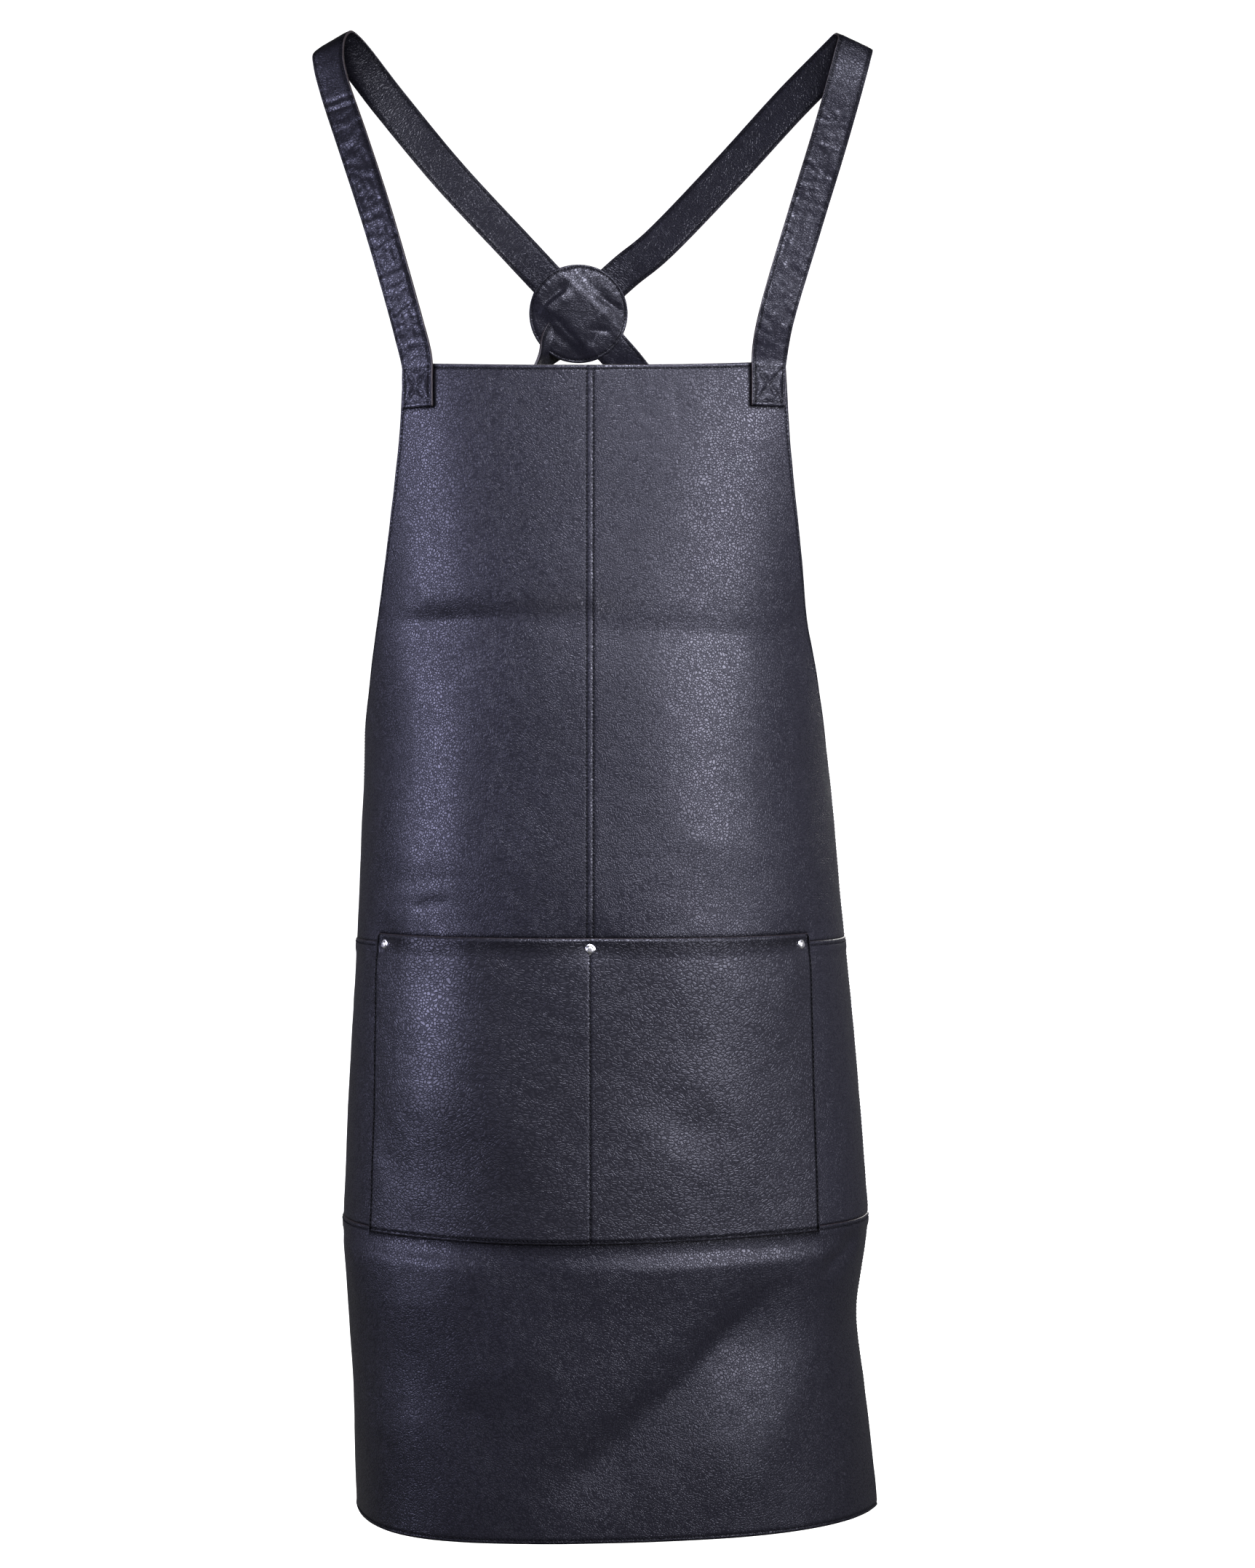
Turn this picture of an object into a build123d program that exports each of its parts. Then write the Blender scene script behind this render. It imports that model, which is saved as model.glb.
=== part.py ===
"""Leather cross-back work apron, held in the shape it takes when it is worn.

Two bib panels, a hip panel and a skirt panel are sewn edge to edge round the front of the wearer.
A wide patch pocket with three rivets covers the hip panel.  Two doubled straps rise from the bib's
top corners, fold over the shoulders, cross behind the back inside a round patch, and run down to
the body's side corners.

Millimetres, +Z up, the front faces -Y and +X is on the viewer's right.  The origin is midway
between the two shoulder folds, where the apron hangs from its wearer.
"""
import os
from math import atan2, cos, degrees, pi, radians, sin

from build123d import *

os.makedirs("parts", exist_ok=True)

# Heights are measured up from the hem, depths back from the front line of the body.
SHOULDER_HEIGHT = 1190.0
SHOULDER_DEPTH = 130.0
BIB_TOP = 912.0
HIP_SEAM = 457.0
SKIRT_SEAM = 232.0
SIDE_HALF_WIDTH = 300.0
BIB_TOP_HALF_WIDTH = 159.0

LEATHER = 2.0
STRAP_WIDTH = 30.0
STRAP_LAYER = 1.4
THREAD = 0.5
THREAD_BASE = 0.05
EDGE_STITCH_INSET = 3.0
SEAM_STITCH_OFFSET = 2.7
SEAM_PARTING = 0.05

POCKET_TOP = 465.7
POCKET_BOTTOM = 233.5
POCKET_HALF_WIDTH = 200.0
POCKET_LEATHER = 1.8
POCKET_FULLNESS = 9.0
POCKET_TURN = 60.0
POCKET_CLEARANCE = 0.4
POCKET_STITCH_INSET = 1.8

RIVET_HEIGHT = 457.3
RIVET_SPREAD = 189.0
RIVET_RADIUS = 4.3
RIVET_CROWN = 2.2
RIVET_POST_RADIUS = 1.4
RIVET_BACK_THICKNESS = 0.8
RIVET_CAP_GAP = 0.35
RIVET_BACK_GAP = 0.4

PATCH_RADIUS = 41.5
PATCH_LEATHER = 1.8
PATCH_CENTRE = (-12.4, 98.0, 980.0)
PATCH_STITCH_INSET = 2.3

SEWN_END_LENGTH = 33.0
SEWN_END_ROUND = 143.5
HINGE_GAP = 4.5
SKIRT_GAP = 0.5
BOX_STITCH_INSET = 3.0
BOX_STITCH_LIFT = 0.6

# Each level of the body: its height, the depth of its front line, and the heading of the leather
# in plan, in degrees from straight across, every 100 mm from 300 mm left to 300 mm right.
HEADING_STEP = 100.0
LEVELS = (
    (0.0, 3.0, (-90, -68, -14, 6, 15, 42, 78)),
    (150.0, 2.0, (-92, -59, -20, 6, 24, 46, 88)),
    (232.0, 1.0, (-92, -52, -26, 6, 26, 37, 86)),
    (457.0, 0.0, (-95, -58, -26, 0, 26, 52, 88)),
    (600.0, 0.0, (-96, -62, -27, 0, 27, 58, 92)),
    (722.0, 0.0, (-90, -60, -27, 0, 27, 58, 88)),
    (912.0, 2.0, (-85, -50, -25, 0, 18, 37, 60)),
)

# Half of the flat width at each height, from the side corners up the armholes to the bib's top.
ARMHOLE = ((457.0, 300.0), (546.0, 300.0), (570.0, 292.0), (595.0, 275.0), (620.0, 257.0),
           (650.0, 238.0), (685.0, 221.0), (722.0, 205.0), (765.0, 189.0), (812.0, 176.0),
           (860.0, 166.0), (912.0, 159.0))


def level_at(height):
    """Front depth and headings of the body at any height."""
    height = min(max(height, LEVELS[0][0]), LEVELS[-1][0])
    for low, high in zip(LEVELS, LEVELS[1:]):
        if height <= high[0]:
            share = (height - low[0]) / (high[0] - low[0])
            front = low[1] + share * (high[1] - low[1])
            return front, [a + share * (b - a) for a, b in zip(low[2], high[2])]


def heading_at(headings, round_way):
    """Heading of the leather, in radians, a distance round from the centre seam."""
    place = min(max(round_way / HEADING_STEP + 3.0, 0.0), 5.999)
    index = int(place)
    share = place - index
    return radians(headings[index] * (1.0 - share) + headings[index + 1] * share)


def body_point(round_way, height, lift=0.0):
    """Plan position of the body's outer face, moved outwards by lift."""
    depth, headings = level_at(height)
    across = 0.0
    steps = max(1, round(abs(round_way) / 5.0))
    length = round_way / steps
    for step in range(steps):
        turn = heading_at(headings, (step + 0.5) * length)
        across += length * cos(turn)
        depth += length * sin(turn)
    turn = heading_at(headings, round_way)
    return across + lift * sin(turn), depth - lift * cos(turn) - SHOULDER_DEPTH


def spread(start, end, count):
    return [start + (end - start) * index / (count - 1) for index in range(count)]


def plane_at(height):
    return Plane.XY.offset(height - SHOULDER_HEIGHT)


def lifted(point, height):
    """A plan point with its height, in the part's frame."""
    return Vector(point[0], point[1], height - SHOULDER_HEIGHT)


def keep(piece, label):
    piece.part.label = label
    export_step(piece.part, f"parts/{label}.step")


def constant(value):
    return lambda *place: value


def skin(label, levels, left, right, inner, outer, points=13):
    """A leather sheet lofted through levels; its edges and both faces may vary with height."""
    with BuildPart() as sheet:
        for height in levels:
            rounds = spread(left(height), right(height), points)
            front = [body_point(way, height, outer(way, height)) for way in rounds]
            back = [body_point(way, height, inner(way, height)) for way in rounds]
            with BuildSketch(plane_at(height)):
                with BuildLine():
                    Spline(*front)
                    Line(front[-1], back[-1])
                    Spline(*reversed(back))
                    Line(back[0], front[0])
                make_face()
        loft(ruled=True)
    keep(sheet, label)


def armhole_half_width(height):
    for (low, narrow), (high, wide) in zip(ARMHOLE, ARMHOLE[1:]):
        if height <= high:
            return narrow + (wide - narrow) * (height - low) / (high - low)
    return BIB_TOP_HALF_WIDTH


def pocket_gap(way, height):
    """How far the pocket stands off the hip panel: sewn at its sides, bottom and middle."""
    bulge = sin(pi * way / POCKET_HALF_WIDTH) ** 2
    rise = min(1.0, (height - POCKET_BOTTOM) / POCKET_TURN)
    return POCKET_CLEARANCE + POCKET_FULLNESS * bulge * rise * (2.0 - rise)


# ---------------------------------------------------------------- body panels
bib_levels = [height for height, half in ARMHOLE]
skin("bib_left_panel", bib_levels, lambda height: -armhole_half_width(height),
     constant(-SEAM_PARTING), constant(-LEATHER), constant(0.0), points=9)
skin("bib_right_panel", bib_levels, constant(SEAM_PARTING), armhole_half_width,
     constant(-LEATHER), constant(0.0), points=9)
skin("hip_panel", (SKIRT_SEAM, 300.0, 380.0, HIP_SEAM), constant(-SIDE_HALF_WIDTH),
     constant(SIDE_HALF_WIDTH), constant(-LEATHER), constant(0.0))
skin("skirt_panel", (0.0, 50.0, 100.0, 150.0, 190.0, SKIRT_SEAM - SKIRT_GAP),
     constant(-SIDE_HALF_WIDTH), constant(SIDE_HALF_WIDTH), constant(-LEATHER), constant(0.0))
skin("pocket_panel", (POCKET_BOTTOM, 248.0, 265.0, 295.0, 380.0, POCKET_TOP),
     constant(-POCKET_HALF_WIDTH), constant(POCKET_HALF_WIDTH), pocket_gap,
     lambda way, height: pocket_gap(way, height) + POCKET_LEATHER, points=17)


# ---------------------------------------------------------------- stitching
def thread_row(label, height, left, right, lift):
    """A row of stitches that runs round the body at one height."""
    with BuildPart() as row:
        rounds = spread(left, right, 13)
        front = [body_point(way, height, lift(way, height) + THREAD) for way in rounds]
        back = [body_point(way, height, lift(way, height) + THREAD_BASE) for way in rounds]
        with BuildSketch(plane_at(height - THREAD / 2.0)):
            with BuildLine():
                Spline(*front)
                Line(front[-1], back[-1])
                Spline(*reversed(back))
                Line(back[0], front[0])
            make_face()
        extrude(amount=THREAD)
    keep(row, label)


def thread_columns(label, ways, levels, lift):
    """Rows of stitches that run down the body, one for each distance round."""
    with BuildPart() as columns:
        for way in ways:
            left, right = way - THREAD / 2.0, way + THREAD / 2.0
            for height in levels:
                low = lift(way, height) + THREAD_BASE
                high = low + THREAD
                with BuildSketch(plane_at(height)):
                    with BuildLine():
                        Polyline(body_point(left, height, low), body_point(right, height, low),
                                 body_point(right, height, high), body_point(left, height, high),
                                 close=True)
                    make_face()
            loft(ruled=True)
    keep(columns, label)


def on_pocket(way, height):
    return pocket_gap(way, height) + POCKET_LEATHER


stitch_edge = POCKET_HALF_WIDTH - POCKET_STITCH_INSET
hem_end = SIDE_HALF_WIDTH - EDGE_STITCH_INSET
bib_top_end = SEWN_END_ROUND - STRAP_WIDTH / 2.0 - 1.5
thread_row("hem_thread", EDGE_STITCH_INSET, -hem_end, hem_end, constant(0.15))
thread_row("bib_top_thread", BIB_TOP - EDGE_STITCH_INSET, -bib_top_end, bib_top_end, constant(0.0))
thread_row("pocket_bottom_thread", POCKET_BOTTOM + POCKET_STITCH_INSET, -stitch_edge, stitch_edge,
           on_pocket)
thread_columns("centre_seam_thread", (-SEAM_STITCH_OFFSET, SEAM_STITCH_OFFSET),
               (470.0, 600.0, 722.0, 905.0), constant(0.1))
thread_columns("pocket_side_thread", (-stitch_edge, 0.0, stitch_edge), (238.0, 345.0, 450.0),
               on_pocket)


# ---------------------------------------------------------------- rivets
def rivet_plane(round_way, lift):
    """A plane on the pocket's face at a rivet, with its normal pointing out of the leather."""
    headings = level_at(RIVET_HEIGHT)[1]
    turn = heading_at(headings, round_way)
    middle = lifted(body_point(round_way, RIVET_HEIGHT, lift), RIVET_HEIGHT)
    return Plane(origin=middle, x_dir=(cos(turn), sin(turn), 0), z_dir=(sin(turn), -cos(turn), 0))


RIVET_WAYS = (-RIVET_SPREAD, 0.0, RIVET_SPREAD)
DOME_RADIUS = (RIVET_RADIUS ** 2 + RIVET_CROWN ** 2) / (2.0 * RIVET_CROWN)
DOME_START = degrees(atan2(DOME_RADIUS - RIVET_CROWN, RIVET_RADIUS))

with BuildPart() as rivet_caps:
    for way in RIVET_WAYS:
        seat = rivet_plane(way, on_pocket(way, RIVET_HEIGHT) + RIVET_CAP_GAP)
        with BuildSketch(Plane(origin=seat.origin, x_dir=seat.x_dir, z_dir=(0, 0, -1))):
            with BuildLine():
                Line((0.0, 0.0), (RIVET_RADIUS, 0.0))
                CenterArc((0.0, RIVET_CROWN - DOME_RADIUS), DOME_RADIUS, DOME_START,
                          90.0 - DOME_START)
                Line((0.0, RIVET_CROWN), (0.0, 0.0))
            make_face()
        revolve(axis=Axis(seat.origin, seat.z_dir))
keep(rivet_caps, "rivet_caps")

with BuildPart() as rivet_posts:
    for way in RIVET_WAYS:
        reach = on_pocket(way, RIVET_HEIGHT) + LEATHER
        with BuildSketch(rivet_plane(way, -LEATHER)):
            Circle(RIVET_POST_RADIUS)
        extrude(amount=reach)
keep(rivet_posts, "rivet_posts")

with BuildPart() as rivet_backs:
    for way in RIVET_WAYS:
        with BuildSketch(rivet_plane(way, -LEATHER - RIVET_BACK_THICKNESS - RIVET_BACK_GAP)):
            Circle(RIVET_RADIUS)
        extrude(amount=RIVET_BACK_THICKNESS)
keep(rivet_backs, "rivet_backs")


# ---------------------------------------------------------------- straps
def station(middle, along, across):
    """A plane square to the strap: x runs across it and y through its thickness."""
    run = Vector(along).normalized()
    side = Vector(across)
    side = (side - run * side.dot(run)).normalized()
    return Plane(origin=middle, x_dir=side, z_dir=run)


def strap_planes(route, level_start=False):
    """Planes along a route of (x, y, height) points, each with the direction across the strap."""
    middles = [lifted((x, y), height) for (x, y, height), across in route]
    planes = []
    for index, (middle, (_, across)) in enumerate(zip(middles, route)):
        ahead = middles[min(index + 1, len(middles) - 1)]
        behind = middles[max(index - 1, 0)]
        run = Vector(0, 0, 1) if level_start and index == 0 else ahead - behind
        planes.append(station(middle, run, across))
    return planes


def strap_run(name, planes):
    """Both layers of one run of strap, each in its own node."""
    for layer, shift in (("face", -STRAP_LAYER / 2.0), ("lining", STRAP_LAYER / 2.0)):
        with BuildPart() as run:
            for plane in planes:
                with BuildSketch(plane):
                    with Locations((0.0, shift)):
                        Rectangle(STRAP_WIDTH, STRAP_LAYER)
            loft(ruled=True)
        keep(run, f"{name}_{layer}")


def sewn_station(side, height, lift):
    """Middle of a strap where it lies on the bib, and the direction across it."""
    way = side * SEWN_END_ROUND
    turn = heading_at(level_at(height)[1], way)
    x, y = body_point(way, height, lift)
    return (x, y, height), (cos(turn), sin(turn), 0.0)


FRONT_ROUTES = {
    "left": (((-143.5, -78.0, 945.0), (0.80, -0.58, 0.10)),
             ((-169.3, -56.0, 1033.6), (0.80, -0.56, 0.20)),
             ((-189.9, -33.0, 1095.8), (0.80, -0.55, 0.28)),
             ((-207.6, -13.0, 1150.0), (0.77, -0.52, 0.36)),
             ((-212.0, -1.7, 1185.0), (0.74, -0.52, 0.45))),
    "right": (((144.0, -84.0, 945.0), (0.92, 0.38, -0.10)),
              ((169.6, -60.0, 1032.9), (0.95, 0.20, -0.25)),
              ((188.7, -35.0, 1095.4), (0.95, 0.10, -0.32)),
              ((203.0, -16.0, 1145.0), (0.90, 0.03, -0.42)),
              ((213.5, -1.7, 1184.0), (0.81, 0.00, -0.58))),
}
BACK_ROUTES = {
    "left": (((-210.0, 1.7, 1185.0), (0.74, -0.52, 0.45)),
             ((-166.6, 34.0, 1143.9), (0.75, -0.15, 0.65)),
             ((-119.7, 66.0, 1090.9), (0.74, 0.00, 0.67)),
             ((-64.0, 92.0, 1034.3), (0.73, 0.00, 0.68)),
             ((-46.0, 96.6, 1015.6), (0.72, 0.00, 0.69)),
             ((12.0, 96.6, 954.0), (0.72, 0.00, 0.69))),
    "right": (((211.5, 1.7, 1184.0), (0.81, 0.00, -0.58)),
              ((163.2, 34.0, 1143.9), (0.72, 0.00, -0.69)),
              ((110.3, 66.0, 1090.9), (0.70, 0.00, -0.71)),
              ((51.3, 93.0, 1034.3), (0.68, 0.00, -0.73)),
              ((25.0, 99.5, 1014.0), (0.67, 0.00, -0.74)),
              ((-35.0, 99.5, 957.0), (0.67, 0.00, -0.74))),
}
LOWER_ROUTES = {
    "left": (((-47.0, 97.0, 930.0), (0.45, 0.60, -0.60)),
             ((-100.0, 86.0, 850.0), (0.30, 0.85, -0.40)),
             ((-148.0, 66.0, 730.0), (0.15, 0.95, -0.25))),
    "right": (((34.0, 97.0, 930.0), (0.60, -0.45, 0.50)),
              ((95.0, 87.0, 850.0), (0.40, -0.80, 0.40)),
              ((152.0, 68.0, 730.0), (0.20, -0.95, 0.25))),
}
STRAP_LIFT = STRAP_LAYER + THREAD_BASE

for name, side in (("left", -1.0), ("right", 1.0)):
    top = sewn_station(side, BIB_TOP - HINGE_GAP / 2.0, STRAP_LIFT)
    bottom = sewn_station(side, BIB_TOP - SEWN_END_LENGTH, STRAP_LIFT)
    strap_run(f"{name}_sewn_end", strap_planes((bottom, top), level_start=True))
    foot = sewn_station(side, BIB_TOP + HINGE_GAP / 2.0, STRAP_LIFT + HINGE_GAP / 4.0)
    strap_run(f"{name}_front_strap", strap_planes((foot,) + FRONT_ROUTES[name], level_start=True))
    strap_run(f"{name}_back_strap", strap_planes(BACK_ROUTES[name]))
    corner = []
    for height, way, inset in ((640.0, 266.0, 6.0), (590.0, 277.0, 2.0), (545.0, 280.0, 1.0)):
        turn = heading_at(level_at(height)[1], side * way)
        x, y = body_point(side * way, height, -LEATHER - STRAP_LIFT - inset)
        corner.append(((x, y, height), (-cos(turn), -sin(turn), 0.0)))
    strap_run(f"{name}_lower_strap", strap_planes(LOWER_ROUTES[name] + tuple(corner)))


# ---------------------------------------------------------------- box stitches on the sewn ends
BOX_SIDE = STRAP_WIDTH - 2.0 * BOX_STITCH_INSET
BOX_HEIGHTS = (BIB_TOP - SEWN_END_LENGTH, BIB_TOP - HINGE_GAP / 2.0)

for name, side in (("left", -1.0), ("right", 1.0)):
    (low, across), (high, _) = [sewn_station(side, height, 2.0 * STRAP_LIFT + BOX_STITCH_LIFT)
                                for height in BOX_HEIGHTS]
    middle = (Vector(*low) + Vector(*high)) * 0.5 - Vector(0, 0, SHOULDER_HEIGHT)
    run = station(middle, Vector(*high) - Vector(*low), across)
    face = Plane(origin=middle, x_dir=run.x_dir, z_dir=run.x_dir.cross(run.z_dir))
    with BuildPart() as box_stitch:
        with BuildSketch(face):
            Rectangle(BOX_SIDE + THREAD, BOX_SIDE + THREAD)
            Rectangle(BOX_SIDE - THREAD, BOX_SIDE - THREAD, mode=Mode.SUBTRACT)
            for slant in (45.0, -45.0):
                Rectangle(BOX_SIDE * 2.0 ** 0.5, THREAD, rotation=slant)
        extrude(amount=THREAD)
    keep(box_stitch, f"{name}_box_stitch")


# ---------------------------------------------------------------- round patch at the crossing
patch_x, patch_y, patch_height = PATCH_CENTRE
patch_gap = 2.0 * STRAP_LAYER + 0.1


def patch_plane(depth):
    """A plane across the crossing, facing the wearer's back."""
    return Plane(origin=(patch_x, depth, patch_height - SHOULDER_HEIGHT), x_dir=(1, 0, 0),
                 z_dir=(0, -1, 0))


front_depth = patch_y - patch_gap
back_depth = patch_y + patch_gap + PATCH_LEATHER

for label, depth in (("patch_front", front_depth), ("patch_back", back_depth)):
    with BuildPart() as patch:
        with BuildSketch(patch_plane(depth)):
            Circle(PATCH_RADIUS)
        extrude(amount=PATCH_LEATHER)
    keep(patch, label)

with BuildPart() as patch_thread:
    with BuildSketch(patch_plane(front_depth - PATCH_LEATHER - THREAD_BASE)):
        Circle(PATCH_RADIUS - PATCH_STITCH_INSET)
        Circle(PATCH_RADIUS - PATCH_STITCH_INSET - THREAD, mode=Mode.SUBTRACT)
    extrude(amount=THREAD)
keep(patch_thread, "patch_thread")
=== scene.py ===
"""Looks of a leather cross-back work apron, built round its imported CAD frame.

Lengths in this script are millimetres unless a name ends in _M.  A place on the body is given by
how far it is round from the centre seam (way) and how high it is above the hem (height).
"""
import math

import bpy
import numpy as np
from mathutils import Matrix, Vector


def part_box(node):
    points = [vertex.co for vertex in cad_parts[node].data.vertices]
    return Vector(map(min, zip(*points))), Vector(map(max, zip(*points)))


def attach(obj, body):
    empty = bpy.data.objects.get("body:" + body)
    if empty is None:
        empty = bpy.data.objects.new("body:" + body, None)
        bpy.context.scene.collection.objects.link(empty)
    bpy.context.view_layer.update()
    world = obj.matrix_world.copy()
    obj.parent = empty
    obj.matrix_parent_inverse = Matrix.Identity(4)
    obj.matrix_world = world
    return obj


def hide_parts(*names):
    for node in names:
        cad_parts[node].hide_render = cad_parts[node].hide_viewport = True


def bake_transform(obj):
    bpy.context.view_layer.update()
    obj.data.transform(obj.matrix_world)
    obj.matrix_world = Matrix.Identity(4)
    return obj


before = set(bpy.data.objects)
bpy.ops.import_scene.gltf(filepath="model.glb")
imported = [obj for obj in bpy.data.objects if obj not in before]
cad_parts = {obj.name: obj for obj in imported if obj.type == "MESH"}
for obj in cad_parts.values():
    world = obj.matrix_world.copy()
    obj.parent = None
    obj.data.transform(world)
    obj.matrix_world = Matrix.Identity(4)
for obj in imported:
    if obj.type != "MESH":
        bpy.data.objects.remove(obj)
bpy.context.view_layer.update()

MM = 0.001
HEM_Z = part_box("skirt_panel")[0][2]


def height_of(z):
    return (z - HEM_Z) / MM


BIB_TOP = height_of(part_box("bib_left_panel")[1][2])
HIP_SEAM = height_of(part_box("hip_panel")[1][2])
SKIRT_SEAM = height_of(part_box("hip_panel")[0][2])
POCKET_TOP = height_of(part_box("pocket_panel")[1][2])
POCKET_BOTTOM = SKIRT_SEAM - 1.5
HIP_TOP = HIP_SEAM + 2.5
SKIRT_TOP = SKIRT_SEAM + 1.5
LAP = 8.0
SHOULDER = height_of(0.0)
SHOULDER_DEPTH = 130.0
BODY_HALF = 300.0
POCKET_HALF = 200.0
POCKET_LIFT = 1.9
LEATHER = 2.0
STRAP_WIDTH = 30.0
STRAP_THICK = 2.8
THINNEST = 0.8
STITCH_INSET = 2.8
STITCH_PITCH = 3.1
SEAM_STITCH = 2.6
POCKET_STITCH = 1.9
POCKET_LOW_STITCH = 2.2
STRAP_STITCH = 2.5
BOX_INSET = 3.0
BOX_HALF = STRAP_WIDTH / 2.0 - BOX_INSET
RIVET_WAYS = (-189.0, 0.0, 189.0)
RIVET_HEIGHT = 457.3
RIVET_RADIUS = 4.3
SEWN_WAY = 143.5
SEWN_LENGTH = 33.0
SEWN_LOW = BIB_TOP - SEWN_LENGTH
BOX_REACH = SEWN_LENGTH / 2.0 - BOX_INSET
PANEL_PITCH, POCKET_PITCH = 3.0, 2.6
OVER_LAP, UNDER_LAP = 0.9, 1.3
PATCH_RADIUS = 41.5
PATCH_STITCH_RADIUS = PATCH_RADIUS - 2.4
PATCH_X, PATCH_Y, PATCH_HEIGHT = -12.4, 98.0, 980.0

# The body's plan shape: height, depth of the front line, and the heading of the leather in degrees
# every 100 mm from 300 mm left to 300 mm right of the centre seam.
LEVELS = (
    (0, 3, (-90, -68, -14, 6, 15, 42, 78)),
    (150, 2, (-92, -59, -20, 6, 24, 46, 88)),
    (232, 1, (-92, -52, -26, 6, 26, 37, 86)),
    (457, 0, (-95, -58, -26, 0, 26, 52, 88)),
    (600, 0, (-96, -62, -27, 0, 27, 58, 92)),
    (722, 0, (-90, -60, -27, 0, 27, 58, 88)),
    (912, 2, (-85, -50, -25, 0, 18, 37, 60)),
)
ARMHOLE = ((457, 300), (546, 300), (570, 292), (595, 275), (620, 257),
           (650, 238), (685, 221), (722, 205), (765, 189), (812, 176), (860, 166), (912, 159))


# ---------------- small maths
def ease(value):
    value = np.clip(value, 0.0, 1.0)
    return value * value * (3.0 - 2.0 * value)


def smooth_rows(values, reach):
    """Running average over 2 * reach + 1 rows, with the end rows repeated."""
    kernel = np.ones(2 * reach + 1) / (2 * reach + 1)
    padded = np.concatenate([values[:1]] * reach + [values] + [values[-1:]] * reach)
    return np.apply_along_axis(lambda column: np.convolve(column, kernel, "valid"), 0, padded)


def lattice(u, v, seed, period=128):
    """Smooth noise from -1 to 1 through one random value per unit in each direction."""
    table = np.random.RandomState(seed).uniform(-1.0, 1.0, (period, period))
    iu, iv = np.floor(u).astype(int), np.floor(v).astype(int)
    fu, fv = ease(u - iu), ease(v - iv)
    left, right, lower, upper = [i % period for i in (iu, iu + 1, iv, iv + 1)]
    low = table[left, lower] * (1 - fu) + table[right, lower] * fu
    high = table[left, upper] * (1 - fu) + table[right, upper] * fu
    return low * (1 - fv) + high * fv


def normalised(vectors):
    return vectors / np.maximum(np.linalg.norm(vectors, axis=-1, keepdims=True), 1e-9)


def distances(points):
    """Distance along a line of points from its first one."""
    gaps = np.linalg.norm(np.diff(points[:, :3], axis=0), axis=1)
    return np.concatenate([[0.0], np.cumsum(gaps)])


def read_along(places, at, table):
    """Rows of a table, given at the distances at, read at other distances."""
    return np.stack([np.interp(places, at, column) for column in table.T], 1)


# ---------------- the body's surface
HEIGHT_STEP, WAY_STEP = 4.0, 2.0
HEIGHTS = np.arange(-8.0, 929.0, HEIGHT_STEP)
WAYS = np.arange(-320.0, 321.0, WAY_STEP)


def body_tables():
    """Plan position and heading of the smooth body on a grid of heights and ways."""
    level_heights = [level[0] for level in LEVELS]
    headings = np.array([level[2] for level in LEVELS], float)
    knots = np.arange(-300.0, 301.0, 100.0)
    rows = np.stack([np.interp(HEIGHTS, level_heights, headings[:, k]) for k in range(7)], 1)
    rows = smooth_rows(smooth_rows(rows, 3), 3)
    turns = np.stack([np.interp(WAYS, knots, row) for row in rows])
    turns = np.radians(smooth_rows(turns.T, 14).T)
    fronts = smooth_rows(np.interp(HEIGHTS, level_heights, [level[1] for level in LEVELS])[:, None], 3)
    middle = int(np.argmin(np.abs(WAYS)))

    def run(slope):
        steps = (slope[:, 1:] + slope[:, :-1]) * 0.5 * WAY_STEP
        total = np.concatenate([np.zeros((len(HEIGHTS), 1)), np.cumsum(steps, axis=1)], 1)
        return total - total[:, middle:middle + 1]

    return run(np.cos(turns)), run(np.sin(turns)) + fronts, turns


BODY_X, BODY_DEPTH, BODY_TURN = body_tables()


def read_table(table, ways, heights):
    i = np.clip((heights - HEIGHTS[0]) / HEIGHT_STEP, 0, len(HEIGHTS) - 1.001)
    j = np.clip((ways - WAYS[0]) / WAY_STEP, 0, len(WAYS) - 1.001)
    i0, j0 = i.astype(int), j.astype(int)
    fi, fj = i - i0, j - j0
    low = table[i0, j0] * (1 - fj) + table[i0, j0 + 1] * fj
    high = table[i0 + 1, j0] * (1 - fj) + table[i0 + 1, j0 + 1] * fj
    return low * (1 - fi) + high * fi


def bib_sag(ways, heights):
    """The bib's top edge hangs a little between its corners."""
    return (8.0 * (ways / 159.0) ** 2 - 4.0) * ease((heights - 850.0) / 62.0)


def body_place(ways, heights, lift):
    """Points on the body, lifted outwards, with the outward direction at each."""
    ways, heights, lift = np.broadcast_arrays(
        np.asarray(ways, float), np.asarray(heights, float), np.asarray(lift, float))
    turn = read_table(BODY_TURN, ways, heights)
    out = np.stack([np.sin(turn), -np.cos(turn), np.zeros_like(turn)], -1)
    hem_drop = (1.0 + 3.5 * (ways / BODY_HALF) ** 2) * (1.0 - ease(heights / 120.0))
    point = np.stack([read_table(BODY_X, ways, heights),
                      read_table(BODY_DEPTH, ways, heights) - SHOULDER_DEPTH,
                      heights + bib_sag(ways, heights) - hem_drop - SHOULDER], -1)
    return point + out * lift[..., None], out


def armhole_half(heights):
    fine = np.arange(440.0, 930.0, 2.0)
    edge = np.interp(fine, [row[0] for row in ARMHOLE], [row[1] for row in ARMHOLE])
    edge = smooth_rows(edge[:, None], 8)[:, 0]
    return np.interp(heights, fine, edge)


# ---------------- folds and soft waves
def crease(ways, heights, start, end, widths, depth):
    """Lift along a straight crease; it is depth on the line and fades over a width each side."""
    run = np.subtract(end, start)
    length = float(np.hypot(*run))
    run = run / length
    along = (ways - start[0]) * run[0] + (heights - start[1]) * run[1]
    beside = (heights - start[1]) * run[0] - (ways - start[0]) * run[1]
    fade = ease(along / (0.3 * length)) * ease((length - along) / (0.3 * length))
    width = np.where(beside > 0.0, widths[0], widths[1])
    return depth * fade * np.exp(-(np.abs(beside) / width) ** 1.6)


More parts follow.
